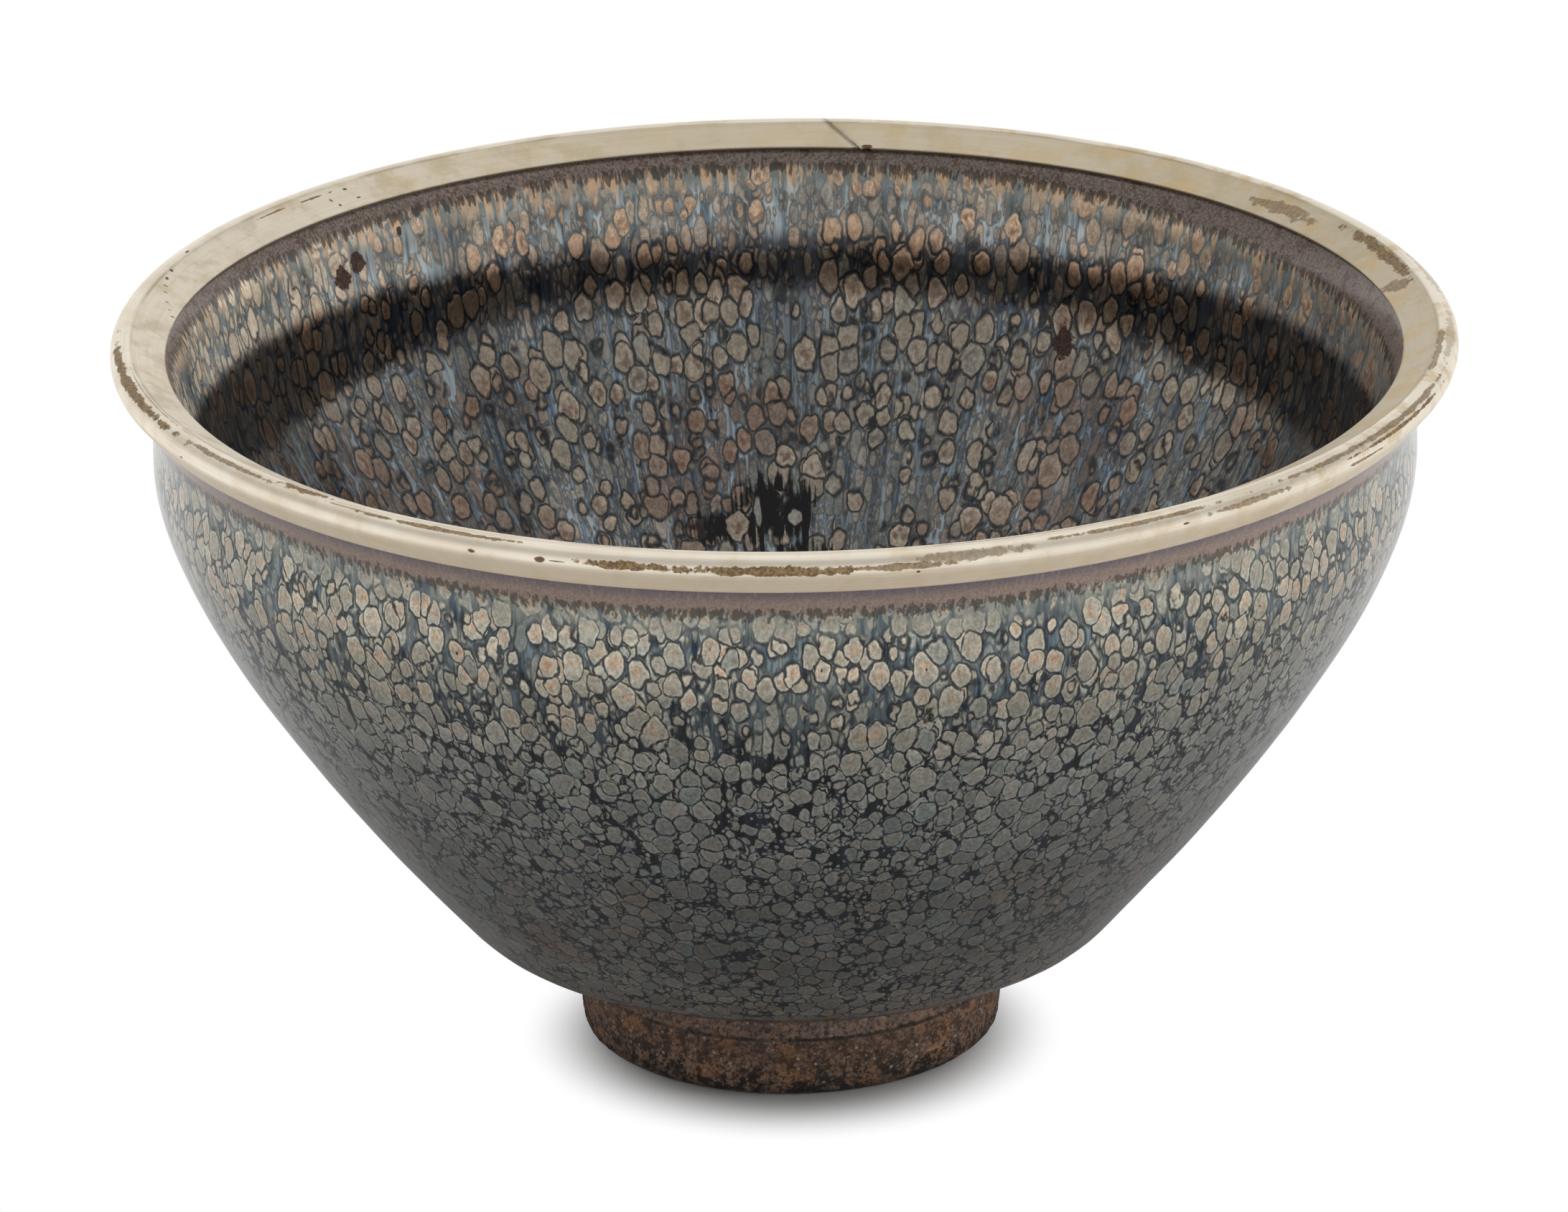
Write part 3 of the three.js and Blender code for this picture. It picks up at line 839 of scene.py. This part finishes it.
def stoneware_material():
    """Coarse fired clay, scorched orange in places and dark at its foot, with sand, grit and painted light on
    the ledge above the shoulder, and painted shade in the turned groove at the shoulder.
    """
    material, tree, surface = new_material("unglazed_stoneware", roughness=0.85)
    place = object_place(tree)
    _, _, height = split(place)
    blotch = noise(place, 0.8, 4.0, 0.7)
    grain = noise(place, 2.2, 4.0, 0.7)
    fine = noise(place, 3.4, 2.0, 0.6)
    patch = noise(place, 0.14, 2.0)
    scorched = noise(place, 0.34, 3.0, 0.65)
    sand = voronoi(scaled(place, 1.3))
    chosen = split(out(sand, "Color"))[0].ramp(0.6, 0.7)
    face = height.hump(1.8, 4.4, 5.2, 5.6)
    # Grit and painted light on the upward-facing ledge above the shoulder
    shoulder_grit_and_light = height.hump(FOOT_HEIGHT - 0.2, FOOT_HEIGHT + 0.5, 9.5, 11.0)
    # Painted shade in the turned groove at the shoulder
    off_shaded_groove = (height - FOOT_HEIGHT - 0.35 + (grain - 0.5) * 0.4).math("ABSOLUTE")
    clay = painted(
        mixed(grain.ramp(0.4, 0.6), (78, 63, 52), (204, 165, 136)),
        (scorched.ramp(0.5, 0.62) * grain.ramp(0.36, 0.56, 0.3, 1.0) * 0.75, (232, 166, 108)),
        (blotch.ramp(0.49, 0.56) * 0.9, (38, 31, 27)),
        ((1 - blotch).ramp(0.56, 0.66) * 0.5, (176, 128, 90)),
        (patch.ramp(0.4, 0.6) * 0.35, (92, 80, 70)),
        (face * 0.35, (150, 112, 86)),
        (fine.ramp(0.6, 0.68) * 0.4, (236, 214, 192)),
        ((1 - out(sand, "Distance").ramp(0.14, 0.28)) * chosen * 0.8, (240, 218, 196)),
        ((1 - fine).ramp(0.6, 0.68) * 0.8, (36, 30, 26)),
        (shoulder_grit_and_light * (grain.ramp(0.35, 0.6) * 0.5 + 0.1), (196, 168, 150)),
        ((1 - off_shaded_groove.ramp(0.06, 0.24)) * patch.ramp(0.35, 0.6, 0.3, 0.8), (40, 33, 28)),
        ((1 - height.ramp(0.0, 2.6)) * (blotch.ramp(0.36, 0.56) * 0.55 + 0.3), (30, 26, 23)),
    )
    finished(surface, grain + fine * 0.6, 0.25,
             Base_Color=tinted(clay, FIRED_CLAY), Roughness=grain * 0.2 + 0.72)
    return material


# Lacquer

def lacquer_material():
    material, tree, surface = new_material("aged_lacquer", roughness=0.45)
    grain = noise(object_place(tree), 1.5, 3.0, 0.6)
    # Paler than the lacquer's own dark brown: painted light in the shaded gap under the band
    tint = mixed(grain.ramp(0.4, 0.65), (96, 80, 68), (140, 120, 104))
    finished(surface, grain, 0.05, Base_Color=tint, Roughness=grain * 0.3 + 0.3)
    return material


# Band

# Its marks of wear: azimuth in degrees, middle across the band from the outer flange's edge, half length and
# half width in millimetres, and how dark the tarnish is
TARNISH = (
    (196, 4.45, 14.5, 0.5, 0.9), (226, 5.0, 3.9, 0.42, 0.9), (233, 4.5, 4.5, 0.1, 0.6),
    (257, 3.25, 4.6, 0.42, 0.95), (268, 3.15, 9.5, 0.5, 0.95), (279, 3.2, 5.0, 0.36, 0.8),
    (285, 3.75, 6.0, 0.5, 0.6), (330, 4.3, 19.0, 0.3, 0.75), (333, 3.7, 12.0, 0.18, 0.95),
    (18, 6.3, 9.0, 0.7, 0.8), (35, 7.4, 5.0, 0.9, 0.6), (350, 5.4, 8.0, 0.35, 0.7),
    (300, 4.2, 9.0, 0.24, 0.75), (216, 4.6, 9.0, 0.3, 0.7), (240, 4.4, 9.0, 0.22, 0.8),
    (311, 3.5, 5.0, 0.3, 0.7), (326, 3.0, 3.0, 0.14, 0.9), (11, 7.6, 1.6, 1.5, 0.6),
    (355, 4.5, 8.0, 0.5, 0.35), (12, 4.5, 7.0, 0.5, 0.3), (150, 4.5, 5.0, 0.25, 0.4),
    (100, 4.4, 7.0, 0.2, 0.4), (40, 4.6, 6.0, 0.25, 0.4), (255, 5.2, 5.0, 0.08, 0.6),
    (139.6, 6.3, 2.2, 0.16, 0.9), (145.2, 6.2, 2.4, 0.12, 0.8), (200, 5.3, 10.0, 0.12, 0.5),
    (290, 5.1, 12.0, 0.1, 0.5),
)
STAINS = (
    (244, 3.0, 0.5, 0.22), (250, 3.1, 0.55, 0.3), (251.4, 3.1, 0.9, 0.08), (280.5, 2.6, 0.2, 0.16),
    (168.2, 6.9, 0.12, 0.26), (170.1, 7.6, 0.12, 0.26), (171.5, 8.2, 0.1, 0.2), (172.7, 8.8, 0.12, 0.26),
    (304, 3.2, 0.4, 0.12), (210, 2.9, 0.3, 0.1), (81.7, 9.0, 0.7, 0.35), (135.4, 6.5, 0.3, 0.2),
    (134.9, 8.0, 0.35, 0.14), (137.5, 8.2, 0.2, 0.22), (137.9, 7.3, 0.14, 0.3), (158.8, 5.4, 0.5, 0.16),
    (163.6, 5.9, 0.3, 0.22), (165.4, 6.15, 0.35, 0.22), (166.9, 6.5, 0.12, 0.28),
)


def off_wear(across, along, over, azimuth, middle, half_length, half_width):
    """How far a point of the band is from a mark's middle, 1 at its edge."""
    cosine, sine = math.cos(math.radians(azimuth)), math.sin(math.radians(azimuth))
    aside = (along * cosine - across * sine) / half_length
    on_far_side = (across * cosine + along * sine).math("LESS_THAN", 0.0) * 9
    off = (over - middle) / half_width
    return (aside * aside + off * off).math("SQRT") + on_far_side


def band_wear(place, across, along, over):
    """How far tarnish and how far stains cover a point."""
    torn = (noise(place, 0.8, 4.0, 0.7) - 0.5) * 2.4
    worn = strongest(
        (1 - (off_wear(across, along, over, *mark) + torn).ramp(0.72, 0.98)) * dark
        for *mark, dark in TARNISH
    )
    stained = strongest(
        1 - (off_wear(across, along, over, *mark) + torn * 0.6).ramp(0.6, 1.0) for mark in STAINS
    )
    return worn, stained


def band_material():
    """Worn gilt silver, duller and warmer on its flanges, with brush marks along it, painted shade along the
    crease between the bead and the inner flange, and painted light on the left of the inner flange.
    """
    material, tree, surface = new_material("worn_gilt_silver", roughness=0.4, metallic=1.0)
    place = object_place(tree)
    across, along, _ = split(place)
    over, _, _ = split(attribute(tree, "marks"))
    worn, stained = band_wear(place, across, along, over)
    radius = (across * across + along * along).math("SQRT")
    brush = noise(combined(across / radius * 5, along / radius * 5, over * 6), 1.0, 4.0, 0.65)
    cloud = noise(place, 0.12, 3.0, 0.6)
    fine = noise(place, 3.0, 3.0, 0.6)
    patina = noise(place, 0.22, 4.0, 0.65)
    gilt = noise(place, 0.3, 4.0, 0.65)
    flange = over.ramp(2.3, 2.9, 1.0, 0.0)
    inner = over.ramp(BEAD_END - 0.15, BEAD_END + 0.1)
    # Painted shade along the crease between the bead and the inner flange
    crease_shade = over.hump(BEAD_END - 0.28, BEAD_END - 0.05, BEAD_END, BEAD_END + 0.25)
    # Painted light: the inner flange is painted lighter towards the left
    left = (across * -1 - along * 0.35).ramp(-12.0, 40.0)
    right = (across + along * 0.2).ramp(10.0, 56.0)
    inner_tint = painted(
        mixed(left, (206, 194, 172), (236, 226, 208)),
        (patina.ramp(0.46, 0.66) * 0.5, (188, 172, 138)),
    )
    metal = painted(
        mixed(cloud.ramp(0.35, 0.7), (244, 235, 218), (234, 222, 202)),
        (flange, (231, 214, 188)),
        (inner, inner_tint),
        (gilt.ramp(0.48, 0.62) * (right * 0.4 + 0.2), (206, 180, 130)),
        (brush.ramp(0.42, 0.7) * 0.22, (196, 178, 146)),
        (crease_shade * (cloud.ramp(0.4, 0.6) * 0.35 + 0.15), (138, 124, 96)),
        (worn, mixed(fine.ramp(0.4, 0.6), (112, 84, 52), (158, 132, 88))),
        (stained * 0.9, (84, 50, 30)),
    )
    finished(
        surface, brush * 0.35 + worn * -0.5 + fine * 0.1, 0.03, Base_Color=metal,
        Metallic=(1 - flange * 0.75) * (1 - worn * 0.5),
        Roughness=brush * 0.16 + worn * 0.2 + inner * 0.1 + 0.32,
    )
    return material


# Outlines of the pieces

def grade(points, low, high):
    """From low to high by the length of the line."""
    along = lengths_along(points)
    return low + (high - low) * along / along[-1]


def climb_of(points, stretch, growth):
    """The pattern's own height along a line, where its spots are longer than wide by the stretch and the
    pattern is shrunk or grown round the bowl by the growth."""
    along = lengths_along(points)
    pace = np.gradient(points[:, 0] * growth, along)
    rise = np.sqrt(np.maximum((growth / stretch) ** 2 - pace ** 2, 0.03))
    return np.concatenate([[0.0], np.cumsum((rise[1:] + rise[:-1]) / 2 * np.diff(along))])


def depth_below_band(skin, first, last):
    """How far each point of the glaze lies below the band, from SIDE_MARK on the outside and, less than
    zero, from -SIDE_MARK on the inside, with even steps over the lip between them."""
    along = lengths_along(skin)
    outer_foot, inner_foot = along[first] - 0.4, along[last] + 0.45
    depth = np.where(
        along <= outer_foot, outer_foot - along + SIDE_MARK, inner_foot - along - SIDE_MARK
    )
    over_lip = (along > outer_foot) & (along < inner_foot)
    depth[over_lip] = np.interp(along[over_lip], [outer_foot, inner_foot], [SIDE_MARK, -SIDE_MARK])
    return depth


def glaze_patterns(skin, depth):
    """What the pattern of large spots and that of drops are laid by: growth and own height, in which the
    inside is set apart by 200."""
    outer, below = depth > 0, np.abs(depth) - SIDE_MARK

    def by_side(outer_places, outer_values, inner_places, inner_values):
        return np.where(outer, np.interp(below, outer_places, outer_values),
                        np.interp(below, inner_places, inner_values))

    stretch = by_side([0, 12, 30, 50, 64], [1.4, 1.5, 1.35, 1.15, 0.8], [0, 12, 30, 60], [1.5, 1.7, 1.4, 1.0])
    growth = by_side([0, 60, 70], [1.0, 1.05, 1.1], [0, 40, 80], [0.9, 0.85, 0.8])
    fine_stretch = by_side([0, 14, 30, 50, 64], [2.8, 2.6, 1.4, 1.15, 0.8], [0, 40, 80], [2.8, 2.4, 2.0])
    inner_pace = np.gradient(lengths_along(skin)) / fine_stretch
    ring_growth = 52 / np.maximum(skin[:, 0], 26)
    side_shift = np.where(outer, 0.0, 200.0)
    flow = climb_of(skin, stretch, growth) + side_shift
    fine_flow = np.where(outer, climb_of(skin, fine_stretch, 1.0), np.cumsum(inner_pace)) + side_shift
    marks = np.stack([depth, flow, growth], 1)
    return marks, np.stack([np.where(outer, 1.0, ring_growth), fine_flow, np.zeros(len(skin))], 1)


def glaze_give(skin, depth, hidden_rows, roll_rows):
    """How far each row follows the edge's run, its swelling and the wheel's unevenness."""
    ledge_share = np.clip(1 - lengths_along(skin) / lengths_along(ledge_line)[-1], 0, 1)
    run_share = np.concatenate([ledge_share[hidden_rows], np.ones(roll_rows), ledge_share])
    swell_share = np.concatenate([
        np.zeros(len(hidden_rows)), np.linspace(0, 1, roll_rows),
        np.clip(ledge_share * 1.3 - 0.3, 0, 1) ** 0.5,
    ])
    free = np.clip((np.abs(depth) - SIDE_MARK) / np.where(depth > 0, 8, 10), 0, 1)
    free[skin[:, 0] < 2] = 0
    loose = np.concatenate([np.zeros(len(hidden_rows) + roll_rows), free])
    return np.stack([run_share, swell_share, loose], 1)


def glaze_outline():
    """From the well up under the glaze and down to its edge, round its roll, and back over its skin."""
    corner = len(ledge_line) - 1
    outer_part = eased(np.concatenate([ledge_line[:-1], outer_line]), 4, corner - 5, corner + 5)
    clay = np.concatenate([outer_part, clay_lip[1:-1], inner_line])
    first, last = len(outer_part), len(outer_part) + len(clay_lip) - 2
    thickness = np.concatenate([
        grade(outer_part, GLAZE_EDGE_THICKNESS, GLAZE_LIP_THICKNESS),
        np.full(len(clay_lip) - 2, GLAZE_LIP_THICKNESS),
        grade(inner_line, GLAZE_LIP_THICKNESS, GLAZE_WELL_THICKNESS),
    ])
    skin = offset(clay, thickness + FIT_GAP)
    under = offset(clay, np.full(len(clay), FIT_GAP))
    middle, half = (skin[0] + under[0]) / 2, np.linalg.norm(skin[0] - under[0]) / 2
    roll = arc(middle, half, LEDGE_SLOPE + math.pi / 2, LEDGE_SLOPE + math.pi * 3 / 2, 12)[1:-1]
    evenly = np.linspace(0, len(under) - 1, 60).astype(int)
    hidden_rows = np.unique(np.concatenate([evenly, [first, last], np.arange(first, last, 4)]))[::-1]

    def for_all_rows(values):
        return np.concatenate([values[hidden_rows], np.repeat(values[:1], len(roll), 0), values])

    depth = depth_below_band(skin, first, last)
    marks, fine_marks = glaze_patterns(skin, depth)
    rows = np.concatenate([under[hidden_rows], roll, skin])
    give = glaze_give(skin, depth, hidden_rows, len(roll))
    return outline_object("glaze_outline", rows, for_all_rows(marks), for_all_rows(fine_marks), give)


def foot_line():
    """From the middle of the recess over the foot ring and up the foot to the start of the ledge."""
    root_control = np.array([ROOT_RADIUS, LEDGE_START[1] - ROOT_WIDTH])
    root_start = np.array([ROOT_RADIUS, ROOT_BASE])
    t = np.linspace(0, 1, 13)[:, None]
    root = root_start * (1 - t) ** 2 + root_control * 2 * t * (1 - t) + LEDGE_START * t ** 2
    corners = np.array([
        (0, RECESS_DEPTH + RECESS_DOME), (RECESS_RADIUS - RECESS_FILLET, RECESS_DEPTH),
        (RECESS_RADIUS, RECESS_DEPTH - RECESS_FILLET), (RECESS_RADIUS, RING_INNER_BEVEL),
        (RING_INNER, 0), (RING_OUTER, 0), (FOOT_BASE_RADIUS, FOOT_EDGE_BEVEL),
        (FOOT_RADIUS, FOOT_HEIGHT), root_start,
    ])
    return np.concatenate([corners, root[1:]])


def stoneware_outline():
    """Finely stepped where it is bare, and coarsely under the glaze."""
    seen = respaced(foot_line(), FOOT_STEP)
    seen = eased(seen, 3, 1, len(seen) - 2)
    seen[:, 1] = np.maximum(seen[:, 1], 0)
    ledge = respaced(np.array([LEDGE_START, GLAZE_EDGE + direction(LEDGE_SLOPE) * 2]), FOOT_STEP)
    points = np.concatenate([
        seen, ledge[1:], ledge_line[-3:-1], outer_line[::4],
        clay_lip[1:-1:6], inner_line[::6], inner_line[-1:],
    ])
    loose = np.zeros(len(points))
    loose[3:len(seen) + len(ledge) - 4] = 1
    loose[:len(seen)] *= np.clip(seen[:, 1] / 0.6, 0, 1)
    give = np.stack([np.zeros(len(points)), np.zeros(len(points)), loose], 1)
    return outline_object("stoneware_outline", points, give=give)


def band_outline():
    outer = lip_path(BEAD_RADIUS, BEAD_STEP, 0.0, BEAD_STAND)
    inner = lip_path(LACQUER_SURFACE_RADIUS + FIT_GAP, HIDDEN_STEP)[::-1]
    over, under = lengths_along(outer), lengths_along(inner)
    over = np.concatenate([over, over[-1] * (1 - under / under[-1]), over[:1]])
    marks = np.stack([over, over, over], 1)
    return outline_object("band_outline", np.concatenate([outer, inner, outer[:1]]), marks)


def lacquer_outline():
    outer = lip_path(LACQUER_SURFACE_RADIUS, HIDDEN_STEP, LIP_EDGE_MARGIN)
    inner = lip_path(GLAZE_SURFACE_RADIUS + FIT_GAP, HIDDEN_STEP, LIP_EDGE_MARGIN)[::-1]
    return outline_object("lacquer_outline", np.concatenate([outer, inner, outer[:1]]))


# Pieces

def capped(strip):
    """Closes the two ends of the strip, at its seam."""
    form = bmesh.new()
    form.from_mesh(strip.data)
    rims = [edge for edge in form.edges if edge.is_boundary]
    bmesh.ops.holes_fill(form, edges=rims)
    bmesh.ops.recalc_face_normals(form, faces=form.faces)
    form.to_mesh(strip.data)
    form.free()
    return strip


TURNING = turning_tree()
SEAM_PITCH = math.tan(SEAM_SLANT) / RIM_RADIUS

stoneware = turned(
    "stoneware_foot_and_wall", stoneware_outline(), stoneware_material(),
    turns=STONEWARE_TURNS, unevenness=0.3 * MM, unevenness_pitch=900.0,
)
glaze = turned(
    "glaze_skin", glaze_outline(), glaze_material(),
    turns=GLAZE_TURNS, edge_wave=GLAZE_EDGE_WAVE * MM, drip_run=DRIP_RUN * MM, drip_bulge=DRIP_BULGE * MM,
    unevenness=0.35 * MM, unevenness_pitch=70.0,
)
lacquer = turned("lacquer_bed", lacquer_outline(), lacquer_material(), turns=LACQUER_TURNS)
band = capped(turned(
    "rim_band_strip", band_outline(), band_material(),
    turns=BAND_TURNS, seam_gap=SEAM_GAP / RIM_RADIUS, seam_slant=-SEAM_PITCH,
    seam_start=SEAM_AZIMUTH + SEAM_PITCH * (BEAD_END + INNER_FLANGE / 2),
))

for piece, cad_node, slot in (
    (stoneware, "stoneware_body", "stoneware"), (glaze, "glaze_coat", "glaze"),
    (lacquer, "rim_lacquer", "lacquer"), (band, "rim_band", "band_metal"),
):
    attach(piece, "root")
    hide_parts(cad_node)


# Camera

def camera():
    data = bpy.data.cameras.new("camera")
    data.sensor_width = SENSOR_WIDTH
    data.lens = FOCAL_PIXELS / PHOTO_WIDTH * SENSOR_WIDTH
    data.clip_start, data.clip_end = 0.01, 20.0
    place = Matrix.Translation(Vector((
        CAMERA_ASIDE, -CAMERA_DISTANCE * math.cos(CAMERA_RISE), CAMERA_DISTANCE * math.sin(CAMERA_RISE),
    )) * MM)
    turns = ((-CAMERA_YAW, "Z"), (math.pi / 2 - CAMERA_PITCH, "X"), (CAMERA_ROLL, "Z"))
    made = linked("camera", data)
    made.matrix_world = functools.reduce(
        Matrix.__matmul__, [Matrix.Rotation(angle, 4, axis) for angle, axis in turns], place)
    bpy.context.scene.camera = made


# Light and floor. The lamps aren't mirrored in the gloss, which would clip to white on the band

WHITE = (1, 1, 1, 1)
FLOOR_GREY = (0.8, 0.8, 0.8, 1)
FLOOR_HALF, SHADOW_FORWARD = 6.0, 4.0
WORLD_FILL, WORLD_DIM = 0.28, 0.5

# The softboxes: name, place, aim and size across in metres, and power in watts
SOFTBOXES = (
    ("softbox_above", (0.0, 0.1, 0.85), (0, 0, 0.04), 1.6, 2.4),
    ("softbox_right", (0.9, -0.15, 0.16), (-0.05, 0.0, 0.06), 0.3, 2.1),
)


def seen_rays(tree):
    """1 for what the camera sees, and 1 for what is mirrored or seen through."""
    path = node(tree, "ShaderNodeLightPath")
    return out(path, "Is Camera Ray"), out(path, "Is Glossy Ray").most(out(path, "Is Transmission Ray"))


def surroundings():
    """White behind the object. The gloss sees it bright near the horizon and behind, and dim above the
    front, and only a part of it falls on the object as light."""
    world = bpy.data.worlds.new("white_surroundings")
    bpy.context.scene.world = world
    world.use_nodes = True
    tree = world.node_tree
    tree.nodes.clear()
    seen, mirrored = seen_rays(tree)
    _, back, up = split(out(node(tree, "ShaderNodeTexCoord"), "Object"))
    bright = up.ramp(0.2, 0.34, 1.0, 0.0).most(back.ramp(-0.45, -0.1) * up.ramp(0.62, 0.8))
    bright = bright.most(back.ramp(0.5, 0.8) * up.ramp(0.45, 0.6, 1.0, 0.0))
    low = up.ramp(0.0, 0.5, 3.2, 1.0)
    lighting = (1 - seen.most(mirrored)) * low * WORLD_FILL
    strength = seen + mirrored * (bright * (1 - WORLD_DIM) + WORLD_DIM) + lighting
    shown = node(tree, "ShaderNodeBackground", {"Color": WHITE, "Strength": strength})
    node(tree, "ShaderNodeOutputWorld", {0: out(shown)})


def floor():
    """Grey where the object's shadow falls, and white further off for what the camera and the gloss see."""
    mesh = bpy.data.meshes.new("floor")
    corners = [(x * FLOOR_HALF, y * FLOOR_HALF, 0) for x, y in ((-1, -1), (1, -1), (1, 1), (-1, 1))]
    mesh.from_pydata(corners, [], [(0, 1, 2, 3)])
    material, tree, surface = new_material("pale_floor", roughness=0.9, shine=0.0)
    surface.inputs["Base Color"].default_value = FLOOR_GREY
    end = surface.outputs[0].links[0].to_socket
    seen, mirrored = seen_rays(tree)
    across, along, _ = split(object_place(tree))
    behind = along + SHADOW_FORWARD
    away = (across * across + behind * behind).math("SQRT")
    lighting = (1 - seen.most(mirrored)) * away.ramp(30.0, 90.0, 0.0, 0.6)
    white = seen * away.ramp(15.0, 25.5) + mirrored * away.ramp(45.0, 185.0) + lighting
    glow = node(tree, "ShaderNodeEmission", {"Color": WHITE, "Strength": 1.0})
    plug(end, out(node(tree, "ShaderNodeMixShader", {0: white, 1: out(surface), 2: out(glow)})))
    mesh.materials.append(material)
    linked("floor", mesh)


def softbox(name, place, aim, size, power):
    data = bpy.data.lights.new(name, "AREA")
    data.shape, data.size, data.energy = "DISK", size, power
    made = linked(name, data)
    made.location = place
    made.visible_glossy = False
    made.rotation_euler = (Vector(aim) - Vector(place)).to_track_quat("-Z", "Y").to_euler()


camera()
surroundings()
floor()
for box in SOFTBOXES:
    softbox(*box)

bpy.context.scene.view_settings.view_transform = "Standard"
